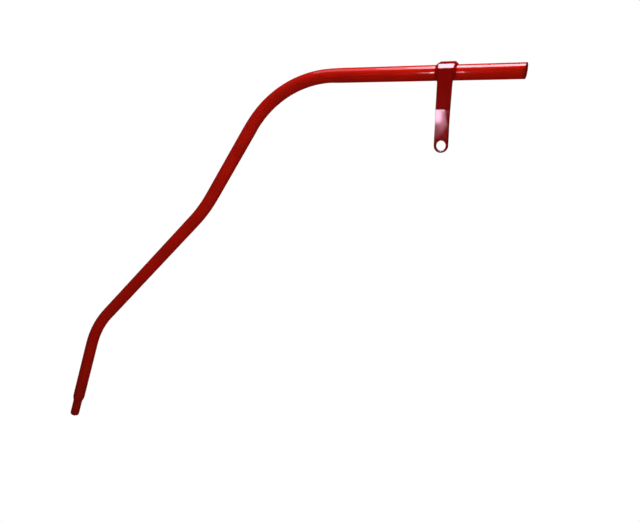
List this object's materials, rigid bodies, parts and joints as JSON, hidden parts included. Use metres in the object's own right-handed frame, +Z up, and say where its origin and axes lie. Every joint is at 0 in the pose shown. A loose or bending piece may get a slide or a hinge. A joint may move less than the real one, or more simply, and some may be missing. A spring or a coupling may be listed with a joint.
{
  "type": "dipstick tube",
  "caption": "Thin-walled bent steel tube, open at its mouth, necked down at its push-in lower end, with a welded strap bracket whose tab takes a bolt; painted red.",
  "frame": {"origin": "centre of the cut face of the tube's push-in lower end", "axes": "+Z up; the tube's centreline lies in the XZ plane and its upper leg runs level along +X to the mouth; the bracket's tab hangs on the -Y side"},
  "size_m": [0.4965, 0.0186, 0.3934],
  "materials": {
    "tube_paint": "gloss red paint over bent steel tube",
    "bracket_paint": "gloss red paint over pressed steel strap",
    "weld_paint": "red paint over a rippled fillet weld"
  },
  "bodies": {
    "root": {"bent_tube": "tube_paint", "strap_bracket": "bracket_paint", "weld_bend_side": "weld_paint", "weld_mouth_side": "weld_paint"}
  },
  "joints": []
}
